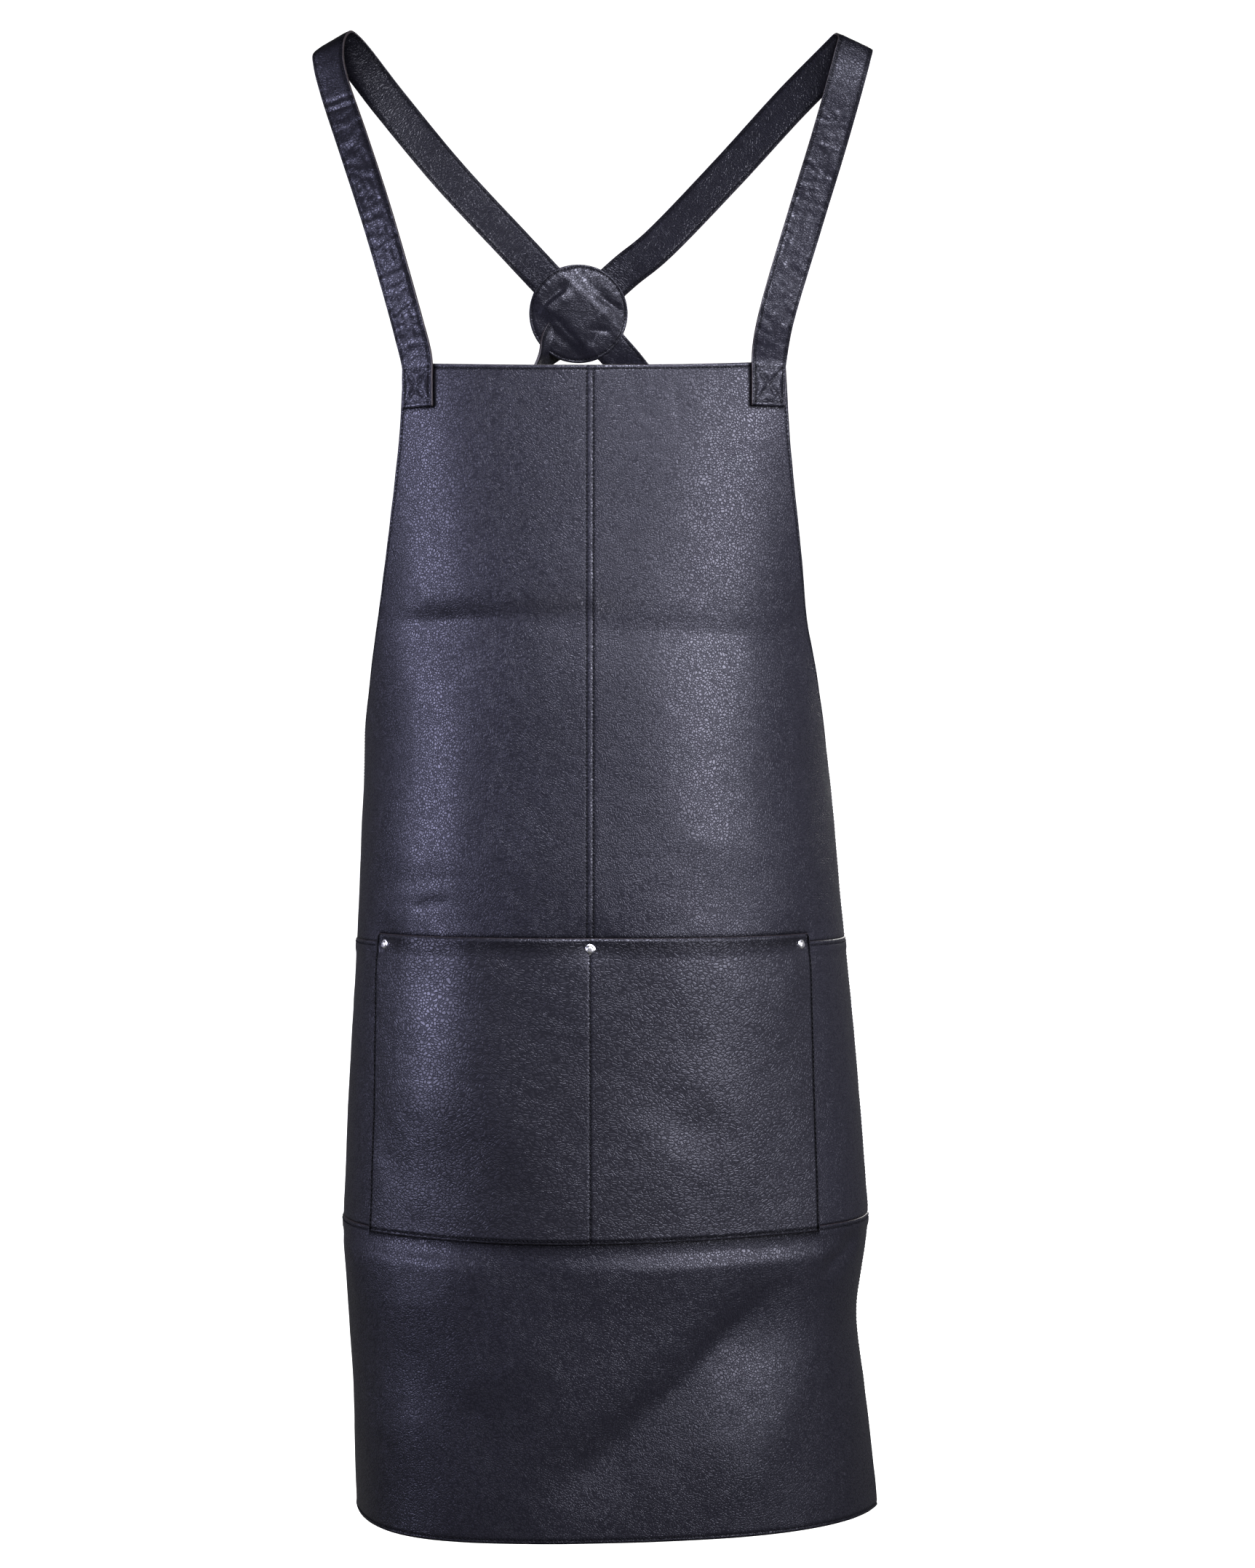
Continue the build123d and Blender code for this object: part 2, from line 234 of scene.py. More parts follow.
# start, end, width above, width below and depth of each fold
FOLDS = (
    ((-200, 711), (50, 716), (12, 34), -6.2),
    ((-20, 704), (230, 699), (16, 26), -2.6),
    ((-240, 500), (-80, 514), (14, 5), -0.8),
    ((-230, 522), (30, 520), (40, 28), 2.2),
    ((40, 545), (260, 520), (40, 30), 1.8),
    ((-290, 212), (-40, 209), (12, 32), 5.2),
    ((-60, 209.5), (285, 210), (11, 28), 4.6),
    ((178, 205), (-50, 15), (36, 20), -9),
    ((240, 180), (90, 10), (26, 30), 2),
    ((-180, 150), (-40, 60), (40, 40), -2.2),
    ((-250, 172), (-70, 184), (22, 26), 1.8),
    ((-120, 110), (-20, 150), (26, 18), 1.2),
    ((-280, 60), (-120, 88), (30, 26), 1.5),
    ((262, 222), (200, 196), (10, 10), -3),
    ((30, 908), (44, 860), (5, 4), -0.5),
    ((66, 906), (70, 855), (4, 5), -0.5),
    ((-160, 487), (-110, 493), (5, 2.5), -0.9),
)


def folds(ways, heights):
    lift = sum(crease(ways, heights, *fold) for fold in FOLDS)
    lift = lift + 1.2 * lattice(ways / 95.0 + 9.3, heights / 120.0 + 3.1, 5)
    lift = lift + 0.6 * lattice(ways / 46.0 + 2.2, heights / 58.0 + 8.4, 6)
    lift = lift + 0.16 * lattice(ways / 15.0 + 5.2, heights / 13.0 + 1.4, 7)
    for way in RIVET_WAYS:
        away = np.hypot((ways - way) / 24.0, (heights - POCKET_TOP + 1.0) / 13.0)
        lift = lift - 3.0 * np.exp(-away ** 2)
    return lift


def pocket_gap(ways, heights):
    """How far the pocket stands off the hip panel: sewn at its sides, bottom and middle."""
    bulge = np.sin(np.pi * np.abs(ways) / POCKET_HALF) ** 2
    rise = np.clip((heights - POCKET_BOTTOM) / 150.0, 0.0, 1.0)
    return 0.3 + 4.2 * bulge * rise * (2.0 - rise)


# ---------------- mesh helpers
def mark(distance, width, strength):
    """Painted shade along a line, such as a stitch groove or a join: a factor from 1 down by strength;
    a negative strength paints a highlight.
    """
    return 1.0 - strength * np.exp(-(distance / width) ** 2)


def new_object(name, points, faces, material, uvs=None, shade=None):
    """A smooth mesh in metres, with flat leather coordinates and painted shade and highlights (the
    Shade attribute) where they are given.
    """
    mesh = bpy.data.meshes.new(name)
    mesh.from_pydata([tuple(p) for p in np.asarray(points) * MM], [], faces)
    mesh.shade_smooth()
    if uvs is not None:
        layer = mesh.uv_layers.new(name="Leather")
        loops = np.empty(len(mesh.loops), int)
        mesh.loops.foreach_get("vertex_index", loops)
        layer.data.foreach_set("uv", (np.asarray(uvs)[loops] * MM).astype(np.float32).ravel())
    # The Shade attribute carries painted shade and painted highlights, multiplied into colour and
    # specular level.
    if shade is not None:
        mesh.attributes.new("Shade", "FLOAT", "POINT")
        mesh.attributes["Shade"].data.foreach_set("value", np.asarray(shade, np.float32).ravel())
    mesh.materials.append(material)
    piece = bpy.data.objects.new(name, mesh)
    bpy.context.scene.collection.objects.link(piece)
    return piece


def paint(piece, slots, *materials):
    """Add materials to a piece and give each face the number of its one."""
    for material in materials:
        piece.data.materials.append(material)
    piece.data.polygons.foreach_set("material_index", slots.astype(np.int32))


def shell(name, ways, heights, outer, inner, shade, material):
    """A closed leather sheet on the body, with painted, rounded cut edges and a suede inside."""
    front, back = [body_place(ways, heights, lift)[0] for lift in (outer, inner)]
    size = ways.size
    index = np.arange(size).reshape(ways.shape)
    loop = np.concatenate([index[0, :], index[1:, -1], index[-1, -2::-1], index[-2:0:-1, 0]])
    inside = np.concatenate([index[1, :], index[1:, -2], index[-2, -2::-1], index[-2:0:-1, 1]])
    flat_front, flat_back = front.reshape(-1, 3), back.reshape(-1, 3)
    away = normalised(flat_front[loop] - flat_front[inside])
    middle = (flat_front[loop] + flat_back[loop]) * 0.5 + away * 0.25 * LEATHER
    points = np.concatenate([flat_front, flat_back, middle])
    quads = np.stack([index[:-1, :-1], index[:-1, 1:], index[1:, 1:], index[1:, :-1]], -1)
    quads = quads.reshape(-1, 4)
    edge, after = 2 * size + np.arange(len(loop)), np.roll(loop, -1)
    edge_after = np.roll(edge, -1)
    rim = np.stack([after, loop, edge, edge_after, edge_after, edge, loop + size, after + size], 1)
    faces = np.concatenate([quads, quads[:, ::-1] + size, rim.reshape(-1, 4)]).tolist()
    flat = np.stack([ways.ravel(), heights.ravel()], 1)
    uvs = np.concatenate([flat, flat, flat[loop]])
    shade = np.concatenate([shade.ravel(), np.full(size, 0.8), np.full(len(loop), 0.6)])
    piece = new_object(name, points, faces, material, uvs, shade)
    paint(piece, np.repeat([0, 2, 1], [len(quads), len(quads), 2 * len(loop)]), edge_paint, suede)
    return piece


def lines_between(low, high, step, low_fine=(), high_fine=()):
    """Grid lines from low to high: fine offsets at each end and even steps between."""
    start = low + (low_fine[-1] if low_fine else 0.0)
    stop = high - (high_fine[-1] if high_fine else 0.0)
    even = np.linspace(start, stop, max(2, int((stop - start) / step)))
    return np.concatenate([low + np.array(low_fine[:-1]), even,
                           high - np.array(high_fine[:-1][::-1])])


def merged(lines, *bands):
    """The same grid lines with even, closer ones in each band of (low, high, pitch)."""
    for low, high, pitch in bands:
        kept = lines[(lines < low - 0.5 * pitch) | (lines > high + 0.5 * pitch)]
        lines = np.sort(np.concatenate([kept, np.arange(low, high + 0.01, pitch)]))
    return lines


SKIRT_BEND_M = (HEM_Z + SKIRT_SEAM * MM, HEM_Z + 0.45 * SKIRT_SEAM * MM)
EDGE_LINES = (0.0, 0.35, 1.1, 1.9, 2.8, 3.7, 4.6, 6.0, 8.5)


def round_over(distance):
    """The grain side drops by half a millimetre over the last one before a cut edge."""
    return -0.45 * (1.0 - ease(distance))


def stitch_dip(distance):
    return -0.42 * np.exp(-(distance / 0.95) ** 2)


def tube_faces(rings, sides):
    """Quads along a stack of closed rings, with a cap at each end."""
    index = np.arange(rings * sides).reshape(rings, sides)
    after = np.roll(index, -1, 1)
    quads = np.stack([index[:-1], after[:-1], after[1:], index[1:]], -1).reshape(-1, 4)
    return quads.tolist() + [index[0, ::-1].tolist(), index[-1].tolist()]


def joined_threads(name, runs, radius=0.52, length=2.1, pitch=STITCH_PITCH):
    """Short stitches along each run of (points, normals); every stitch is a bent capsule."""
    rings, sides = 5, 6
    angle = np.arange(sides) * 2.0 * np.pi / sides
    shape = np.array([-1.0, -0.72, 0.0, 0.72, 1.0])
    girth = np.array([0.25, 0.85, 1.0, 0.85, 0.25])
    all_points, all_faces, base = [], [], 0
    capsule = [face[:1] + face[:0:-1] for face in tube_faces(rings, sides)]
    for points, normals in runs:
        total = distances(points)
        count = max(1, int(total[-1] / pitch))
        centres = (np.arange(count) + 0.5) * total[-1] / count
        at = read_along(centres, total, points)
        up = normalised(read_along(centres, total, normals))
        ahead, behind = [read_along(centres + reach, total, points) for reach in (0.5, -0.5)]
        along = normalised(ahead - behind)
        side = normalised(np.cross(along, up))
        along = normalised(along + 0.10 * side)
        arch = -0.30 * shape ** 2
        for k in range(count):
            spine = at[k] + np.outer(shape * length / 2.0, along[k]) + np.outer(arch, up[k])
            around = np.outer(np.cos(angle), side[k]) + np.outer(np.sin(angle), up[k])
            body = spine[:, None, :] + girth[:, None, None] * radius * around[None, :, :]
            all_points.append(body.reshape(-1, 3))
            all_faces += [[index + base for index in face] for face in capsule]
            base += rings * sides
    return new_object(name, np.concatenate(all_points), all_faces, thread)


# ---------------- materials
def feed(tree, node, inputs):
    """Give each input its value, or link it from the socket that is passed."""
    for key, value in inputs.items():
        if isinstance(value, bpy.types.NodeSocket):
            tree.links.new(value, node.inputs[key])
        else:
            node.inputs[key].default_value = value


def node_of(tree, kind, inputs, output, **settings):
    """A new shader node with its settings and inputs; returns the named or numbered output."""
    node = tree.nodes.new("ShaderNode" + kind)
    for key, value in settings.items():
        setattr(node, key, value)
    feed(tree, node, inputs)
    return node.outputs[output]


def sum_of(tree, first, share, second, other_share):
    """Weighted sum of two values."""
    first = node_of(tree, "Math", {0: first, 1: share}, 0, operation="MULTIPLY")
    second = node_of(tree, "Math", {0: second, 1: other_share}, 0, operation="MULTIPLY")
    return node_of(tree, "Math", {0: first, 1: second}, 0, operation="ADD")


def noise_of(tree, place, scale, detail, roughness=0.5, output="Fac"):
    return node_of(tree, "TexNoise", {"Vector": place, "Scale": scale, "Detail": detail,
                                      "Roughness": roughness}, output)


def mapped(tree, value, low, high, reach=1.0, kind="LINEAR"):
    """Map a value of 0 to reach onto low to high."""
    return node_of(tree, "MapRange", {"Value": value, "From Max": reach, "To Min": low,
                                      "To Max": high}, "Result", interpolation_type=kind)


def mixed(tree, share, first, second):
    return node_of(tree, "Mix", {"Factor": share, "A": (*first, 1.0), "B": (*second, 1.0)}, "Result",
                   data_type="RGBA")


def bumped(tree, height, depth):
    return node_of(tree, "Bump", {"Height": height, "Distance": depth * MM}, "Normal")


def new_material(name):
    material = bpy.data.materials.new(name)
    material.use_nodes = True
    return material, material.node_tree, material.node_tree.nodes["Principled BSDF"]


def leather_material(name, dark, light, roughness, cell=2.0, wrinkle=0.10, across=1.0, bump_mm=0.24,
                     sheen_range=(0.11, 0.30)):
    """Grain leather: pebbles with darker, less glossy valleys, fine wrinkles, and lighter crowns; the
    valleys are partly the grain's tone and partly painted shade.
    """
    material, tree, shader = new_material(name)
    place = node_of(tree, "UVMap", {}, "UV", uv_map="Leather")
    stretch = node_of(tree, "VectorMath", {0: place, 1: (across, 1.0, 1.0)}, 0, operation="MULTIPLY")
    drift = noise_of(tree, stretch, 55.0, 2.0, output="Color")
    offset = node_of(tree, "VectorMath", {0: drift, 1: (0.010, 0.010, 0.0), 2: stretch}, 0,
                     operation="MULTIPLY_ADD")
    cells = node_of(tree, "TexVoronoi", {"Vector": offset, "Scale": 1.0 / (cell * MM),
                                         "Randomness": 1.0}, "Distance", feature="DISTANCE_TO_EDGE")
    pebble = mapped(tree, cells, 0.0, 1.0, 0.24, "SMOOTHERSTEP")
    fine = noise_of(tree, place, 900.0, 3.0)
    soft = noise_of(tree, offset, 210.0, 4.0, 0.6)
    blotch = noise_of(tree, place, 16.0, 3.0)
    relief = sum_of(tree, pebble, 0.55, fine, 0.08)
    relief = sum_of(tree, relief, 1.0, soft, wrinkle * 2.2)
    # The Shade attribute is painted light: painted shade and painted highlights that scale the colour
    # and the specular level.
    painted_light = node_of(tree, "Attribute", {}, "Fac", attribute_name="Shade")
    # Lower colour and specular level in the pebbles' valleys: partly the grain's own tone, partly
    # painted shade of the pebbles.
    shade = mapped(tree, sum_of(tree, pebble, 0.6, blotch, 0.5), 0.35, 1.0)
    colour = node_of(tree, "VectorMath", {0: mixed(tree, shade, dark, light), "Scale": painted_light}, 0,
                     operation="SCALE")
    sheen = node_of(tree, "Math", {0: mapped(tree, pebble, *sheen_range), 1: painted_light}, 0,
                    operation="MULTIPLY")
    gloss = mapped(tree, sum_of(tree, pebble, 0.5, blotch, 0.5), roughness + 0.10, roughness - 0.05)
    feed(tree, shader, {"Normal": bumped(tree, relief, bump_mm), "Base Color": colour,
                        "Roughness": gloss, "Specular IOR Level": sheen})
    return material


def plain_material(name, colour, roughness, metallic=0.0, noise_scale=400.0, bump_mm=0.05):
    """A material with a fine uneven surface, for thread, cut edges and metal."""
    material, tree, shader = new_material(name)
    place = node_of(tree, "TexCoord", {}, "Object")
    noise = noise_of(tree, place, noise_scale, 3.0)
    tint = mixed(tree, noise, [c * 0.75 for c in colour], [min(1.0, c * 1.2) for c in colour])
    feed(tree, shader, {"Normal": bumped(tree, noise, bump_mm), "Base Color": tint,
                        "Roughness": mapped(tree, noise, max(0.05, roughness - 0.08), roughness + 0.08),
                        "Metallic": metallic})
    return material


def suede_material():
    """The inside of the leather: a matt, brushed nap with soft blotches."""
    material, tree, shader = new_material("suede")
    place = node_of(tree, "UVMap", {}, "UV", uv_map="Leather")
    nap = noise_of(tree, place, 620.0, 4.0)
    brushed = noise_of(tree, place, 22.0, 5.0)
    feed(tree, shader, {"Normal": bumped(tree, nap, 0.25),
                        "Base Color": mixed(tree, brushed, (0.016, 0.0155, 0.016),
                                            (0.042, 0.040, 0.041)),
                        "Roughness": 0.9, "Specular IOR Level": 0.15})
    return material


body_leather = leather_material("body_leather", (0.0035, 0.0034, 0.0042), (0.010, 0.0098, 0.0125), 0.34)
pocket_leather = leather_material("pocket_leather", (0.0035, 0.0034, 0.004), (0.010, 0.0098, 0.012),
                                  0.36, cell=2.4, across=0.72, bump_mm=0.25,
                                  sheen_range=(0.13, 0.34))
STRAP_COLOURS = ((0.0025, 0.0024, 0.003), (0.007, 0.0068, 0.009))
strap_leather = leather_material("strap_leather", *STRAP_COLOURS, 0.27, wrinkle=0.15, across=0.7,
                                 bump_mm=0.17, sheen_range=(0.10, 0.24))
patch_leather = leather_material("patch_leather", *STRAP_COLOURS, 0.28, wrinkle=0.15, bump_mm=0.10,
                                 sheen_range=(0.12, 0.26))
edge_paint = plain_material("edge_paint", (0.011, 0.0075, 0.007), 0.45)
suede = suede_material()
thread = plain_material("thread", (0.002, 0.002, 0.0025), 0.7, noise_scale=1500.0)
thread.node_tree.nodes["Principled BSDF"].inputs["Specular IOR Level"].default_value = 0.12
rivet_metal = plain_material("rivet_metal", (0.86, 0.84, 0.80), 0.30, 1.0, 260.0, 0.03)


# ---------------- body panels
def settle(piece, body, slot, *nodes):
    """A piece that moves with one body."""
    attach(piece, body)
    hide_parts(*nodes)


def bridge(piece, slot, first, second, band, *nodes):
    """A piece with its placement baked into its mesh, which hides the frame's given parts; the slot,
    the two bodies and the band of levels in metres are not used.
    """
    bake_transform(piece)
    if nodes:
        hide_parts(*nodes)


def bib_panel(side, node):
    """One half of the bib, from the centre seam to the armhole edge."""
    rows = lines_between(HIP_SEAM - LAP, BIB_TOP, PANEL_PITCH, high_fine=EDGE_LINES)
    rows = merged(rows, (HIP_SEAM + 2.0, HIP_SEAM + 20.0, 1.0),
                  (SEWN_LOW - 4.0, SEWN_LOW + 2.0, 1.0))
    half = armhole_half(rows)
    share = np.linspace(0.0, 1.0, 96)[1:-1]
    centre = np.array((0.0, 0.4, 0.9, 1.4, 2.0, 2.6, 3.2, 4.0, 5.2, 7.0))
    edge = np.array(EDGE_LINES[::-1])
    middle = centre[-1] + share * (half[:, None] - edge[0] - centre[-1])
    distance = np.concatenate([np.tile(centre, (len(rows), 1)), middle,
                               half[:, None] - edge[None, :]], 1)
    heights = np.repeat(rows[:, None], distance.shape[1], 1)
    ways = side * distance
    from_edge = half[:, None] - distance
    from_top = BIB_TOP - heights
    relief = folds(ways, heights)
    outer = relief + round_over(from_edge) + round_over(from_top)
    outer += stitch_dip(from_edge - STITCH_INSET) + stitch_dip(from_top - STITCH_INSET)
    outer += 1.3 * stitch_dip(distance - SEAM_STITCH) + 0.45 * np.exp(-(distance / 1.2) ** 2)
    outer -= UNDER_LAP * ease((HIP_SEAM + 3.0 - heights) / 3.0)
    inner = np.minimum(relief - LEATHER, outer - THINNEST)

    # Painted shade in the stitch grooves of the centre seam, edges and top, a darker band along the cut
    # edges, and a painted highlight along the top edge.
    shade = mark(distance - SEAM_STITCH, 0.8, 0.5) * mark(from_edge - STITCH_INSET, 0.8, 0.5)
    shade *= mark(from_top - STITCH_INSET, 1.0, 0.7) * mark(from_edge, 1.0, 0.7)
    shade *= mark(from_top - 0.6, 0.7, -0.8)
    # Painted shadow round the sewn strap ends, just above the pocket's top edge, and just above the hip
    # panel at the sides.
    beside = np.maximum(np.abs(distance - SEWN_WAY) - STRAP_WIDTH / 2.0, 0.0)
    below = np.maximum(SEWN_LOW - heights, 0.0)
    shade *= mark(np.hypot(beside, below), 1.7, 0.9)
    behind_pocket = distance < POCKET_HALF + 1.0
    shade *= np.where(behind_pocket, mark(np.maximum(heights - POCKET_TOP, 0.0), 2.6, 0.85),
                      mark(np.maximum(heights - HIP_SEAM - 2.5, 0.0), 1.5, 0.8))
    if side < 0:
        ways, heights, outer, inner, shade = [
            a[:, ::-1] for a in (ways, heights, outer, inner, shade)]
    piece = shell(node, ways, heights, outer, inner, shade, body_leather)
    settle(piece, "apron", "body_leather", node + "_panel")


def band_grid(low, high, low_free, *bands):
    """Ways, heights, outer relief and shade of a panel that runs right across the body."""
    rows = lines_between(low, high, PANEL_PITCH, EDGE_LINES if low_free else (), EDGE_LINES)
    columns = lines_between(-BODY_HALF, BODY_HALF, PANEL_PITCH, EDGE_LINES, EDGE_LINES)
    near, far = POCKET_HALF - 1.0, POCKET_HALF + 6.0
    columns = merged(columns, (-far, -near, 1.0), (near, far, 1.0))
    ways, heights = np.meshgrid(columns, merged(rows, *bands))
    from_side = BODY_HALF - np.abs(ways)
    outer = folds(ways, heights) + round_over(from_side) + stitch_dip(from_side - STITCH_INSET)
    lap = 1.0 - ease((high - heights - 7.0) / 6.0)
    outer += OVER_LAP * lap + round_over(high - heights) + stitch_dip(high - heights - STITCH_INSET)
    # Painted shade in the stitch grooves at the sides and top, and a darker band along the side edges.
    shade = mark(from_side - STITCH_INSET, 0.8, 0.6) * mark(high - heights - STITCH_INSET, 0.8, 0.6)
    shade *= mark(from_side, 1.0, 0.7)
    return ways, heights, outer, shade


def hip_panel():
    low, high = SKIRT_SEAM - LAP, HIP_TOP
    ways, heights, outer, shade = band_grid(low, high, False, (SKIRT_SEAM + 1.0, SKIRT_SEAM + 7.0, 1.0))
    outer -= UNDER_LAP * ease((low + 11.0 - heights) / 3.0)
    inner = np.minimum(folds(ways, heights) - LEATHER, outer - THINNEST)
    # Painted shadow beside the pocket's sides and just above the skirt's top edge.
    shade *= mark(np.maximum(np.abs(ways) - POCKET_HALF, 0.0), 1.4, 0.7)
    shade *= mark(np.maximum(heights - SKIRT_SEAM - 1.5, 0.0), 1.4, 0.8)
    piece = shell("hip_front", ways, heights, outer, inner, shade, body_leather)
    settle(piece, "apron", "body_leather", "hip_panel")


def skirt_panel():
    low, high = 0.0, SKIRT_TOP
    ways, heights, outer, shade = band_grid(low, high, True)
    outer += round_over(heights - low) + stitch_dip(heights - low - STITCH_INSET)
    inner = np.minimum(folds(ways, heights) - LEATHER, outer - THINNEST)
    # Painted shade in the hem's stitch groove, a darker band along the hem, and painted shadow just
    # below the pocket's bottom edge.
    shade *= mark(heights - low - STITCH_INSET, 0.8, 0.6) * mark(heights - low, 1.0, 0.7)
    under = np.abs(ways) < POCKET_HALF + 0.5
    shade *= np.where(under, mark(np.maximum(POCKET_BOTTOM - heights, 0.0), 4.2, 0.85), 1.0)
    # Painted shade: the skirt darkens by up to an eighth towards its right side.
    shade *= 1.0 - 0.12 * ease((ways + 20.0) / 120.0)
    piece = shell("skirt", ways, heights, outer, inner, shade, body_leather)
    bridge(piece, "body_leather", "apron", "skirt", SKIRT_BEND_M, "skirt_panel")


def pocket_outer(ways, heights):
    """Lift of the pocket's face, with the slack leather's slanting waves."""
    slack = ease((POCKET_HALF - np.abs(ways)) / 40.0) * ease((heights - POCKET_BOTTOM) / 40.0)
    waves = lattice((ways + heights) / 48.0 + 1.7, (ways - heights) / 75.0 + 5.2, 8)
    return folds(ways, heights) + pocket_gap(ways, heights) + POCKET_LIFT + 1.1 * slack * waves


def pocket_panel():
    rows = lines_between(POCKET_BOTTOM, POCKET_TOP, POCKET_PITCH, EDGE_LINES, EDGE_LINES)
    half = POCKET_HALF
    centre_fine = np.array((-3.0, -1.8, -0.9, -0.4, 0.0, 0.4, 0.9, 1.8, 3.0))
    left = lines_between(-half, -4.0, POCKET_PITCH, EDGE_LINES)
    columns = np.concatenate([left, centre_fine, -left[::-1]])
    ways, heights = np.meshgrid(columns, rows)
    from_side, from_low, from_top = half - np.abs(ways), heights - POCKET_BOTTOM, POCKET_TOP - heights
    outer = pocket_outer(ways, heights) + round_over(from_side) + round_over(from_low)
    outer += stitch_dip(from_side - POCKET_STITCH) + stitch_dip(from_low - POCKET_LOW_STITCH)
    outer += 0.7 * ease((14.0 - from_top) / 4.0) - 1.0 * (1.0 - ease(from_top / 1.6))
    outer -= 0.9 * np.exp(-(ways / 1.1) ** 2) * ease((RIVET_HEIGHT - heights) / 8.0)
    for way in RIVET_WAYS:
        away = np.hypot(ways - way, heights - RIVET_HEIGHT)
        outer -= 1.1 * np.exp(-(away / 7.5) ** 2)
    inner = np.minimum(pocket_outer(ways, heights) - LEATHER, outer - THINNEST)
    # Painted shade in the stitch grooves at the sides, bottom and middle, a painted highlight on each
    # side edge, and painted shade in a band under the top lip.
    shade = mark(from_side - 2.0, 1.5, 0.97) * mark(from_side - 0.2, 0.5, -1.2)
    shade *= mark(from_low - POCKET_LOW_STITCH, 1.3, 0.85) * mark(ways, 0.8, 0.6)
    shade *= 1.0 - 0.5 * ease((from_top - 1.2) / 1.5) * (1.0 - ease((from_top - 6.0) / 7.0))
    piece = shell("pocket", ways, heights, outer, inner, shade, pocket_leather)
    settle(piece, "apron", "pocket_leather", "pocket_panel")


bib_panel(-1.0, "bib_left")
bib_panel(1.0, "bib_right")
hip_panel()
skirt_panel()
pocket_panel()


# ---------------- stitches on the body
THREAD_LIFT = -0.12
SEAM_LIFT = THREAD_LIFT + OVER_LAP
SIDE_SPANS = ((-297.0, -204.0), (204.0, 297.0))


def run_on(surface, ways, heights, lift=THREAD_LIFT):
    """Points and outward directions of a stitch row on folds or on pocket_outer."""
    ways, heights = np.broadcast_arrays(np.asarray(ways, float), np.asarray(heights, float))
    return body_place(ways, heights, surface(ways, heights) + lift)


def across_row(low, high, height, lift=THREAD_LIFT):
    return run_on(folds, np.arange(low, high, 1.0), height, lift)


def apron_thread(name, runs, node, **kind):
    settle(joined_threads(name, runs, **kind), "apron", "thread", node)


side_heights = np.arange(SKIRT_SEAM + 6.0, BIB_TOP - 4.0, 1.0)
bib_heights = np.arange(HIP_SEAM + 10.0, BIB_TOP - 4.0, 1.0)
side_ways = np.where(side_heights > HIP_SEAM, armhole_half(side_heights), BODY_HALF)
apron_thread("centre_seam_stitches",
             [run_on(folds, side * SEAM_STITCH, bib_heights) for side in (-1, 1)],
             "centre_seam_thread")
edge_runs = [run_on(folds, side * (side_ways - STITCH_INSET), side_heights) for side in (-1, 1)]
edge_runs.append(across_row(-126.0, 126.0, BIB_TOP - STITCH_INSET))
edge_runs += [across_row(low, high, HIP_TOP - STITCH_INSET, SEAM_LIFT) for low, high in SIDE_SPANS]
apron_thread("edge_stitches", edge_runs, "bib_top_thread")

skirt_heights = np.arange(4.0, SKIRT_SEAM - 4.0, 1.0)
skirt_runs = [across_row(-297.0, 297.0, STITCH_INSET)]
skirt_runs += [across_row(low, high, SKIRT_TOP - STITCH_INSET, SEAM_LIFT) for low, high in SIDE_SPANS]
skirt_runs += [run_on(folds, side * (BODY_HALF - STITCH_INSET), skirt_heights)
               for side in (-1, 1)]
bridge(joined_threads("skirt_stitches", skirt_runs), "thread", "apron", "skirt", SKIRT_BEND_M,
       "hem_thread")

pocket_heights = np.arange(POCKET_BOTTOM + 4.0, POCKET_TOP - 14.0, 1.0)
side_runs = [run_on(pocket_outer, side * (POCKET_HALF - POCKET_STITCH), pocket_heights)
             for side in (-1, 1)]
side_runs.append(run_on(pocket_outer, 0.0, np.arange(POCKET_BOTTOM + 3.0, RIVET_HEIGHT - 6.0, 1.0),
                        -0.75))
apron_thread("pocket_side_stitches", side_runs, "pocket_side_thread", radius=0.75, pitch=3.8,
             length=2.5)
bottom_run = run_on(pocket_outer, np.arange(-196.0, 196.5, 1.0), POCKET_BOTTOM + POCKET_LOW_STITCH)
apron_thread("pocket_bottom_stitches", [bottom_run], "pocket_bottom_thread")


# ---------------- rivets
def rivet_caps():
    """Domed caps with a rolled rim, seated in the dimples of the pocket's top edge."""
    rim, sides = RIVET_RADIUS, 40
    profile = [(rim - 0.5, -0.5), (rim, -0.2), (rim + 0.05, 0.25), (rim - 0.25, 0.55),
               (rim - 0.75, 0.62), (rim - 1.05, 0.60)]
    profile += [(3.15 * math.cos(a), 0.65 + 1.65 * math.sin(a))
                for a in np.radians((5, 20, 35, 50, 65, 78, 87))]
    turns = np.arange(sides) * 2.0 * np.pi / sides
    shape = np.array([(r * math.cos(a), r * math.sin(a), up) for r, up in profile for a in turns])
    points, all_faces = [], []
    for way in RIVET_WAYS:
        base, out = body_place(way, RIVET_HEIGHT, pocket_outer(way, RIVET_HEIGHT) - 0.7)
        frame_rows = np.array([(-out[1], out[0], 0.0), (0.0, 0.0, 1.0), out])
        start = len(points) * len(shape)
        points.append(base + sum(shape[:, k:k + 1] * frame_rows[k] for k in range(3)))
        all_faces += [[index + start for index in face] for face in tube_faces(len(profile), sides)]
    piece = new_object("rivets", np.concatenate(points), all_faces, rivet_metal)
    settle(piece, "apron", "rivet_metal", "rivet_caps")


rivet_caps()


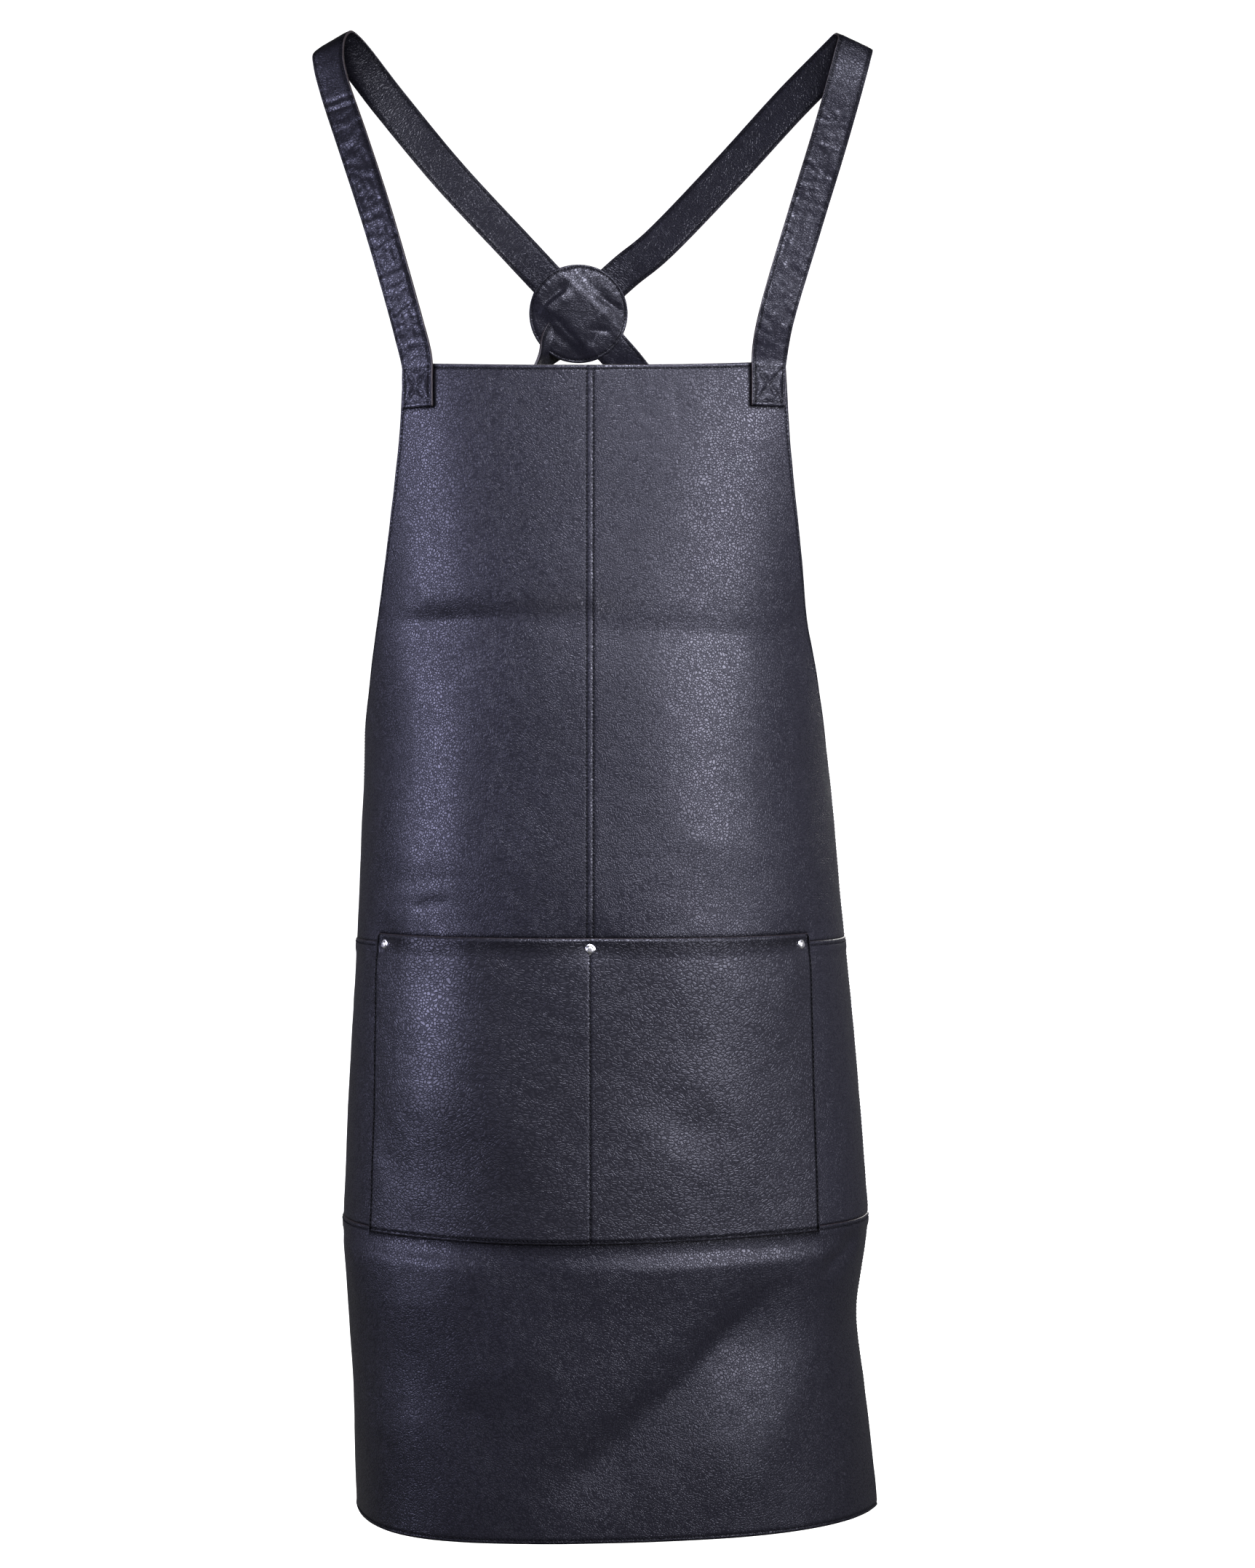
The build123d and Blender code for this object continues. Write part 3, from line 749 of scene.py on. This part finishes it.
# ---------------- straps
def curve_through(points, step):
    """Points every step along a smooth curve through the given ones; columns ride along."""
    points = np.asarray(points, float)
    ends = np.concatenate([[2 * points[0] - points[1]], points, [2 * points[-1] - points[-2]]])
    fine = []
    for k in range(1, len(ends) - 2):
        p0, p1, p2, p3 = ends[k - 1:k + 3]
        gap = [max(1e-6, np.linalg.norm((b - a)[:3])) ** 0.5 for a, b in ((p0, p1), (p1, p2), (p2, p3))]
        t0, t1, t2, t3 = 0.0, gap[0], gap[0] + gap[1], gap[0] + gap[1] + gap[2]
        t = np.linspace(t1, t2, 24, endpoint=False)[:, None]

        def from_to(start, stop, low, high, t=t):
            return (stop - t) / (stop - start) * low + (t - start) / (stop - start) * high

        a1, a2, a3 = from_to(t0, t1, p0, p1), from_to(t1, t2, p1, p2), from_to(t2, t3, p2, p3)
        fine.append(from_to(t1, t2, from_to(t0, t2, a1, a2), from_to(t1, t3, a2, a3)))
    fine = np.concatenate(fine + [points[-1:]])
    total = distances(fine)
    at = np.linspace(0.0, total[-1], max(3, int(total[-1] / step)))
    return read_along(at, total, fine), at


def ribbon_frames(route, step):
    """Middle line, directions across and outwards, and distances of a strap from its stations.

    Across is square to the run, but slants along the crest where the strap folds at the shoulder."""
    rows = [[x, y, height - SHOULDER, *across] for (x, y, height), across in route]
    fine, at = curve_through(rows, step)
    centre = fine[:, :3]
    run = normalised(np.gradient(centre, at, axis=0))
    across = normalised(fine[:, 3:6])
    crest = at[int(np.argmax(centre[:, 2]))] if centre[:, 2].max() > -10.0 else -1000.0
    square = ease(np.abs(at - crest) / FOLD_REACH)[:, None]
    across = normalised(across - square * run * np.sum(across * run, 1, keepdims=True))
    return centre, across, normalised(np.cross(across, run)), at


# The lining's wrinkles are the face's, read from another place and weaker.
LINING_SHARE, LINING_U, LINING_V = 0.6, 40.0, 90.0
# Where the back run begins and how far the fold at the shoulder reaches, along the strap.
CREST_RUN, FOLD_REACH = 318.0, 26.0


def strap(name, route, relief, lines=None, step=1.6, shoulder_shade=0.0):
    """A doubled strap: two leather layers, rolled edges and a groove between the layers."""
    centre, across, out, at = ribbon_frames(route, step)
    half, thick = STRAP_WIDTH / 2.0, STRAP_THICK / 2.0
    rolled = np.array([0.4, 1.1, 1.9, 2.6, 3.4])
    face_u = np.concatenate([rolled - half, np.linspace(-half + 4.5, half - 4.5, 17),
                             half - rolled[::-1]])
    rim_u = np.array([half - 0.05, half + 0.05, half - 0.25, half + 0.05, half - 0.05])
    rim_t = np.array([0.72, 0.42, 0.0, -0.42, -0.72]) * thick
    u = np.concatenate([face_u, rim_u, face_u[::-1], -rim_u])
    wide, count, sides = len(face_u), len(at), len(u)
    grid_u, grid_v = np.meshgrid(u, at)
    face = np.repeat([1.0, 0.0, -1.0, 0.0], [wide, 5, wide, 5])
    from_edge = half - np.abs(grid_u)
    plain = thick - 0.55 * (1.0 - ease(from_edge / 2.2)) + 0.8 * stitch_dip(from_edge - STRAP_STITCH)
    top = plain + relief(grid_u, grid_v)
    low = plain + LINING_SHARE * relief(grid_u + LINING_U, grid_v + LINING_V)
    depth = np.where(face > 0, top, np.where(face < 0, -low, 0.0))
    depth = depth + np.concatenate([np.zeros(wide), rim_t, np.zeros(wide), -rim_t])
    points = centre[:, None] + grid_u[..., None] * across[:, None] + depth[..., None] * out[:, None]
    uvs = np.stack([grid_u.ravel() + 50.0 * np.tile(face, count), grid_v.ravel()], 1)
    # Painted shade in the stitch grooves and a darker band along the edges; painted shade on the back
    # run just past the shoulder crest; box stitch shade where lines are given.
    shade = mark(from_edge - STRAP_STITCH, 0.8, 0.7) * mark(from_edge, 1.2, 0.8)
    past_crest = grid_v - CREST_RUN
    shade *= 1.0 - shoulder_shade * ease(past_crest / 8.0) * (1.0 - ease((past_crest - 20.0) / 90.0))
    if lines is not None:
        shade *= np.where(face > 0, lines(grid_u, grid_v), 1.0)
    piece = new_object(name, points.reshape(-1, 3), tube_faces(count, sides), strap_leather, uvs, shade)
    rim = (face == 0) | (np.roll(face, -1) == 0)
    paint(piece, np.append(np.tile(rim, count - 1), [0, 0]), edge_paint)
    return piece, (centre, across, out, at)


def strap_thread_runs(frames, relief, start, stop):
    """Rows of stitches near both edges, on both faces."""
    centre, across, out, at = frames
    keep = (at >= start) & (at <= stop)
    runs = []
    for side in (-1.0, 1.0):
        u = side * (STRAP_WIDTH / 2.0 - STRAP_STITCH)
        for face, share, shift_u, shift_v in ((1.0, 1.0, 0.0, 0.0),
                                              (-1.0, LINING_SHARE, LINING_U, LINING_V)):
            grid = np.full(at.shape, u)
            lift = STRAP_THICK / 2.0 - 0.30 + share * relief(grid + shift_u, at + shift_v)
            points = centre + u * across + face * lift[:, None] * out
            runs.append((points[keep], face * out[keep]))
    return runs


def crumple(amount, stretch, seed):
    """Crosswise wrinkles of a soft strap: amount is a list of (distance, height in mm)."""
    places, sizes = zip(*amount)

    def relief(u, v):
        warp = 1.8 * lattice(u / 11.0 + 4.0, v / 14.0 + 1.0, seed)
        broad = lattice(u / 11.0 + 7.0, (v + 2.2 * warp) / (5.0 * stretch), seed + 1)
        sharp = lattice(u / 7.0 + 1.0, (v + 2.0 * warp) / (3.4 * stretch), seed + 2)
        sharp = 1.0 - 2.0 * np.abs(sharp)
        edge = ease((STRAP_WIDTH / 2.0 - np.abs((u + 15.0) % 30.0 - 15.0)) / 3.0)
        return np.interp(v, places, sizes) * (0.50 * broad + 0.50 * sharp) * (0.35 + 0.65 * edge)

    return relief


def box_quilt(u, v):
    """Four pillows between the crossed stitches of a sewn end."""
    x = np.clip(np.abs(u) / BOX_HALF, 0.0, 1.2)
    y = np.clip(np.abs(v - SEWN_LENGTH / 2.0) / BOX_REACH, 0.0, 1.2)
    inside = (x < 1.02) & (y < 1.02)
    cross = np.abs(x - y)
    border = np.minimum(1.0 - x, 1.0 - y)
    pillow = 0.95 * ease(cross / 0.5) * ease(border / 0.35)
    dips = -0.45 * np.exp(-(cross / 0.10) ** 2)
    return np.where(inside, pillow + dips, 0.0)


def box_lines(u, v):
    """Painted shade along the stitched square and cross that hold a sewn end."""
    half = BOX_HALF
    x, y = np.abs(u), np.abs(v - SEWN_LENGTH / 2.0) * half / BOX_REACH
    inside = (x < half + 1.0) & (y < half + 1.0)
    shade = mark(x - y, 0.8, 0.85) * mark(x - half, 0.8, 0.6) * mark(y - half, 0.8, 0.7)
    return np.where(inside, shade, 1.0)


def sewn_place(side, height, lift):
    """A station of the sewn end: its place and the direction across the strap."""
    way = side * SEWN_WAY
    (x, y, z), out = body_place(way, height, folds(way, height) + lift)
    return (x, y, z + SHOULDER), (-out[1], out[0], 0.0)


# Stations along the straps: x, y and height above the hem, and the direction across the strap.
FRONT = {
    "left": (
        ((-143.5, -78, 945), (0.80, -0.58, 0.10)),
        ((-169.3, -56, 1033.6), (0.80, -0.56, 0.20)),
        ((-189.9, -33, 1095.8), (0.80, -0.55, 0.28)),
        ((-207.6, -13, 1148), (0.79, -0.58, 0.22)),
        ((-212.5, -7.5, 1169), (0.82, -0.48, 0.32)),
        ((-212.5, -4.5, 1180.5), (0.86, -0.34, 0.40)),
        ((-207.5, 1, 1187.5), (0.86, -0.30, 0.43)),
        ((-199.5, 7.5, 1182.5), (0.82, -0.26, 0.50)),
        ((-166.6, 34, 1143.9), (0.75, -0.20, 0.65)),
        ((-119.7, 66, 1090.9), (0.74, 0.00, 0.67)),
        ((-64, 92, 1034.3), (0.73, 0.00, 0.68)),
        ((-46, 96.6, 1015.6), (0.72, 0.00, 0.69)),
        ((6, 96.6, 960), (0.72, 0.00, 0.69))),
    "right": (
        ((144, -84, 945), (0.92, 0.38, -0.10)),
        ((169.6, -60, 1032.9), (0.95, 0.20, -0.25)),
        ((188.7, -35, 1095.4), (0.95, 0.10, -0.32)),
        ((203, -16, 1145), (0.93, 0.06, -0.36)),
        ((210.5, -7.5, 1173), (0.93, 0.04, -0.38)),
        ((213, -2.5, 1184.5), (0.92, 0.02, -0.42)),
        ((210, 2.5, 1186.5), (0.90, 0.00, -0.45)),
        ((202, 8, 1179), (0.80, 0.00, -0.60)),
        ((163.2, 34, 1143.9), (0.72, 0.00, -0.69)),
        ((110.3, 66, 1090.9), (0.70, 0.00, -0.71)),
        ((51.3, 93, 1034.3), (0.68, 0.00, -0.73)),
        ((25, 99.4, 1014), (0.67, 0.00, -0.74)),
        ((-30, 99.4, 962), (0.67, 0.00, -0.74))),
}
LOWER = {
    "left": (
        ((-22, 99.4, 969), (0.67, 0.10, -0.74)),
        ((-32, 98.6, 955), (0.52, 0.50, -0.64)),
        ((-41, 97.5, 941), (0.20, 0.92, -0.33)),
        ((-52, 95.5, 922), (0.10, 0.95, -0.25)),
        ((-100, 86, 850), (0.30, 0.85, -0.40)),
        ((-148, 66, 730), (0.15, 0.95, -0.25))),
    "right": (
        ((-2, 96.6, 969), (0.72, 0.00, 0.69)),
        ((12, 96.8, 955), (0.72, 0.00, 0.69)),
        ((34, 97, 930), (0.66, -0.30, 0.60)),
        ((95, 87, 850), (0.40, -0.80, 0.40)),
        ((152, 68, 730), (0.20, -0.95, 0.25))),
}
CRUMPLE = {
    "left": crumple(((0, 0.1), (33, 0.3), (60, 1.2), (130, 1.0), (220, 1.1), (258, 0.9), (266, 0.15),
                     (330, 0.1), (370, 0.35), (600, 0.12)), 1.0, 11),
    "right": crumple(((0, 0.1), (33, 0.35), (55, 1.1), (90, 0.8), (200, 0.7), (262, 0.6), (280, 0.1),
                      (330, 0.1), (370, 0.2), (600, 0.08)), 1.15, 31),
}
LOWER_CRUMPLE = crumple(((0, 0.15), (500, 0.25)), 1.3, 51)
HINGE_BAND_M = (HEM_Z + (BIB_TOP - 7.0) * MM, HEM_Z + (BIB_TOP + 38.0) * MM)
LOWER_BAND_M = (HEM_Z + 0.936, HEM_Z + 0.610)
STRAP_THREAD = 0.32
# Rows of the crossed box, as corners from (-1, 0) at the low left to (1, 1) at the high right.
BOX_ROWS = (((-1, 0), (1, 1)), ((1, 0), (-1, 1)), ((-1, 0), (1, 0)), ((-1, 1), (1, 1)))

for name, side in (("left", -1.0), ("right", 1.0)):
    sewn = [sewn_place(side, height, STRAP_THICK / 2.0 + 0.1)
            for height in np.linspace(SEWN_LOW, BIB_TOP, 4)]

    def surface(u, v, wrinkles=CRUMPLE[name], sharp=name == "left"):
        lift = wrinkles(u, v) * ease((v - SEWN_LENGTH + 4.0) / 10.0) + box_quilt(u, v)
        for place, depth in ((268.0, 1.3), (276.0, 1.0)) if sharp else ():
            lift = lift - depth * np.exp(-((v - place + 0.35 * u) / 1.6) ** 2)
        return lift

    piece, frames = strap(f"{name}_strap", tuple(sewn) + FRONT[name], surface, box_lines,
                          shoulder_shade=0.6 if name == "left" else 0.4)
    nodes = [f"{name}_{run}_{layer}" for run in ("sewn_end", "front_strap", "back_strap")
             for layer in ("face", "lining")]
    bridge(piece, "strap_leather", "apron", "harness", HINGE_BAND_M, *nodes)
    centre, across, out, at = frames

    runs = strap_thread_runs(frames, surface, 3.0, at[-1] - 10.0)
    share = np.linspace(0.0, 1.0, 30)
    for (u_a, v_a), (u_b, v_b) in BOX_ROWS:
        u = BOX_HALF * (u_a + share * (u_b - u_a))
        v = BOX_INSET + 2.0 * BOX_REACH * (v_a + share * (v_b - v_a))
        place, sideways, up = [read_along(v, at, table) for table in (centre, across, out)]
        lift = STRAP_THICK / 2.0 - 0.25 + surface(u, v)
        runs.append((place + u[:, None] * sideways + lift[:, None] * up, up))
    bridge(joined_threads(f"{name}_strap_stitches", runs, radius=STRAP_THREAD), "thread", "apron",
           "harness", HINGE_BAND_M, f"{name}_box_stitch")

    corner = []
    for height, way, inset in ((640.0, 266.0, 6.0), (590.0, 277.0, 2.0), (545.0, 280.0, 1.0)):
        place, out = body_place(side * way, height, -LEATHER - 1.45 - inset)
        corner.append(((place[0], place[1], height), (out[1], -out[0], 0.0)))
    piece, frames = strap(f"{name}_lower", LOWER[name] + tuple(corner), LOWER_CRUMPLE, step=2.2)
    bridge(piece, "strap_leather", "harness", "apron", LOWER_BAND_M, f"{name}_lower_strap_face",
           f"{name}_lower_strap_lining")
    length = frames[3][-1]
    runs = strap_thread_runs(frames, LOWER_CRUMPLE, 4.0, length - 3.0)
    bridge(joined_threads(f"{name}_lower_stitches", runs, radius=STRAP_THREAD), "thread", "harness",
           "apron", LOWER_BAND_M)


# ---------------- round patch
STRAP_A, STRAP_B = np.radians((-45.0, 42.0))
# The back of the patch bulges a little less than its front.
BACK_SHARE = 0.9
PATCH_CREASES = (
    ((-36, 2), (-6, 27), (7, 3), -1.2),
    ((-37, -3), (-6, 21), (3, 7), 1),
    ((-24, 1), (2, -27), (5, 2.2), -0.9),
    ((14, 16), (40, 0), (3.5, 2.5), -0.8),
    ((4, -13), (30, -16), (3, 2), -0.5),
)


def patch_lift(x, z):
    """Height of the patch's face above its middle plane: two crossing straps lie inside."""
    radius = np.hypot(x, z)
    lift = np.full_like(x, 1.0)
    for angle, rise in ((STRAP_A, 2.7), (STRAP_B, 1.3)):
        beside = np.abs(-x * np.sin(angle) + z * np.cos(angle))
        lift = lift + rise * (1.0 - ease((beside - 13.0) / 13.0))
    dome = 1.0 - ease((radius - 30.0) / 12.0)
    lift = 1.3 + (lift - 1.0) * (0.80 + 0.20 * dome) + 0.5 * dome
    for fold in PATCH_CREASES:
        lift = lift + crease(x, z, *fold)
    wrinkle = lattice(x / 3.1 + 0.4 * z / 3.1, z / 6.0, 71)
    wrinkle = wrinkle + 0.6 * lattice(x / 5.0, z / 2.6, 72)
    turn = np.arctan2(z, x)
    pucker = np.sin(turn * 46.0 + 2.0 * np.sin(turn * 7.0)) * np.exp(-((radius - 37.0) / 3.2) ** 2)
    return lift + 0.09 * wrinkle * ease((radius + 6.0) / 20.0) + 0.12 * pucker


def patch_piece():
    rings = np.concatenate([np.linspace(0.6, 36.0, 40), [37.2, 38.2, 39.0, 39.7, 40.4, 41.0, 41.4]])
    sides = 180
    angle = np.arange(sides) * 2.0 * np.pi / sides
    radius, turn = np.meshgrid(rings, angle, indexing="ij")
    x, z = radius * np.cos(turn), radius * np.sin(turn)
    edge = stitch_dip(radius - PATCH_STITCH_RADIUS) * 1.2 - 0.5 * ease((radius - 40.2) / 1.3)
    front = patch_lift(x, z) + edge
    back = patch_lift(-x, z) * BACK_SHARE + edge
    layers = [np.stack([PATCH_X + x, PATCH_Y - front, PATCH_HEIGHT - SHOULDER + z], -1),
              np.stack([PATCH_X + x, PATCH_Y + back, PATCH_HEIGHT - SHOULDER + z], -1)]
    points = np.concatenate([layer.reshape(-1, 3) for layer in layers])
    index = np.arange(x.size).reshape(x.shape)
    after = np.roll(index, -1, 1)
    quads = np.stack([index[:-1], index[1:], after[1:], after[:-1]], -1).reshape(-1, 4)
    faces = np.stack([quads, quads[:, ::-1] + x.size], 1).reshape(-1, 4).tolist()
    faces += np.stack([index[-1], index[-1] + x.size, after[-1] + x.size, after[-1]], 1).tolist()
    faces += [index[0].tolist(), (index[0, ::-1] + x.size).tolist()]
    flat = np.stack([x.ravel(), z.ravel()], 1)
    # Painted shade in the groove of the stitched ring.
    shade = mark(radius - PATCH_STITCH_RADIUS, 0.8, 0.5)
    piece = new_object("patch", points, faces, patch_leather, np.concatenate([flat, flat + 90.0]),
                       np.concatenate([shade.ravel(), shade.ravel()]))
    settle(piece, "harness", "patch_leather", "patch_front", "patch_back")
    ring = np.linspace(0.0, 2.0 * np.pi, 240)
    x, z = PATCH_STITCH_RADIUS * np.cos(ring), PATCH_STITCH_RADIUS * np.sin(ring)
    runs = []
    for face, lift in ((-1.0, patch_lift(x, z)), (1.0, patch_lift(-x, z) * BACK_SHARE)):
        points = np.stack([PATCH_X + x, PATCH_Y + face * (lift - 0.3),
                           PATCH_HEIGHT - SHOULDER + z], -1)
        runs.append((points, np.tile([0.0, face, 0.0], (len(x), 1))))
    settle(joined_threads("patch_stitches", runs), "harness", "thread", "patch_thread")


patch_piece()

# ---------------- what stays from the frame
for node in ("rivet_posts", "rivet_backs"):
    for slot in bpy.data.objects[node].material_slots:
        slot.material = rivet_metal


# ---------------- studio
def plane(name, centre, width, depth, turn_x=0.0):
    bpy.ops.mesh.primitive_plane_add(size=1.0, location=centre, rotation=(turn_x, 0.0, 0.0))
    piece = bpy.context.object
    piece.name = name
    piece.scale = (width, depth, 1.0)
    piece.data.materials.append(pale_paint)
    return piece


pale_paint, paint_tree, paint_shader = new_material("pale_floor")
feed(paint_tree, paint_shader, {"Base Color": (0.9, 0.9, 0.9, 1.0), "Roughness": 0.9,
                                "Emission Color": (1.0, 1.0, 1.0, 1.0), "Emission Strength": 0.9})
FLOOR_Z = HEM_Z - 0.45
floor = plane("floor", (0.0, 0.0, FLOOR_Z), 24.0, 24.0)
bpy.ops.mesh.primitive_uv_sphere_add(segments=48, ring_count=24, radius=11.0)
room = bpy.context.object
room.name = "room"
room.data.materials.append(pale_paint)
backdrop = plane("backdrop", (0.0, 4.4, FLOOR_Z + 1.7), 4.4, 3.8, math.pi / 2.0)
backdrop.visible_glossy = False
for piece in (floor, room):
    piece.visible_diffuse = piece.visible_glossy = piece.visible_shadow = False
bounce = plane("floor_bounce", (0.0, 2.6, FLOOR_Z + 0.001), 4.4, 3.6)
bounce.visible_camera = bounce.visible_glossy = False


def area_light(name, place, target, size, power, colour, spread=180.0):
    light = bpy.data.lights.new(name, "AREA")
    light.shape = "RECTANGLE"
    light.size, light.size_y = size
    light.energy = power
    light.color = colour
    light.spread = math.radians(spread)
    lamp = bpy.data.objects.new(name, light)
    lamp.location = place
    lamp.visible_camera = False
    lamp.rotation_euler = (Vector(target) - Vector(place)).to_track_quat("-Z", "Y").to_euler()
    bpy.context.scene.collection.objects.link(lamp)


area_light("key", (-2.08, -0.52, -0.36), (-0.1, -0.1, -0.52), (1.05, 1.1), 7.0, (0.64, 0.64, 1.0), 50.0)
area_light("fill", (1.9, -1.45, -0.20), (0.1, -0.1, -0.66), (1.9, 0.9), 20.0, (0.80, 0.80, 1.0), 56.0)
area_light("top", (0.3, -2.1, 1.10), (0.0, -0.1, -0.44), (2.2, 0.7), 21.0, (0.79, 0.79, 1.0), 44.0)
area_light("low", (0.0, -2.1, -1.28), (0.0, 0.06, -0.05), (1.7, 0.4), 3.4, (0.84, 0.84, 1.0), 18.0)
area_light("back", (0.5, 2.3, 0.5), (0.0, 0.0, -0.45), (2.2, 1.4), 34.0, (1.0, 0.99, 0.97), 110.0)

world = bpy.data.worlds.new("studio")
world.use_nodes = True
world.node_tree.nodes["Background"].inputs["Color"].default_value = (1.0, 0.99, 0.98, 1.0)
world.node_tree.nodes["Background"].inputs["Strength"].default_value = 0.13
bpy.context.scene.world = world
bpy.context.scene.view_settings.view_transform = "Standard"

# ---------------- camera
CAMERA_DISTANCE_M = 2.5
CAMERA_HEIGHT = 585.0
CAMERA_SIDE = 28.8
FRAME_HEIGHT_M = 1.2074
SENSOR = 36.0
camera_data = bpy.data.cameras.new("camera")
camera_data.sensor_width = SENSOR
camera_data.lens = SENSOR * CAMERA_DISTANCE_M / FRAME_HEIGHT_M
camera = bpy.data.objects.new("camera", camera_data)
camera.location = (CAMERA_SIDE * MM, -SHOULDER_DEPTH * MM - CAMERA_DISTANCE_M,
                   HEM_Z + CAMERA_HEIGHT * MM)
camera.rotation_euler = (math.pi / 2.0, 0.0, 0.0)
bpy.context.scene.collection.objects.link(camera)
bpy.context.scene.camera = camera

bpy.context.view_layer.update()
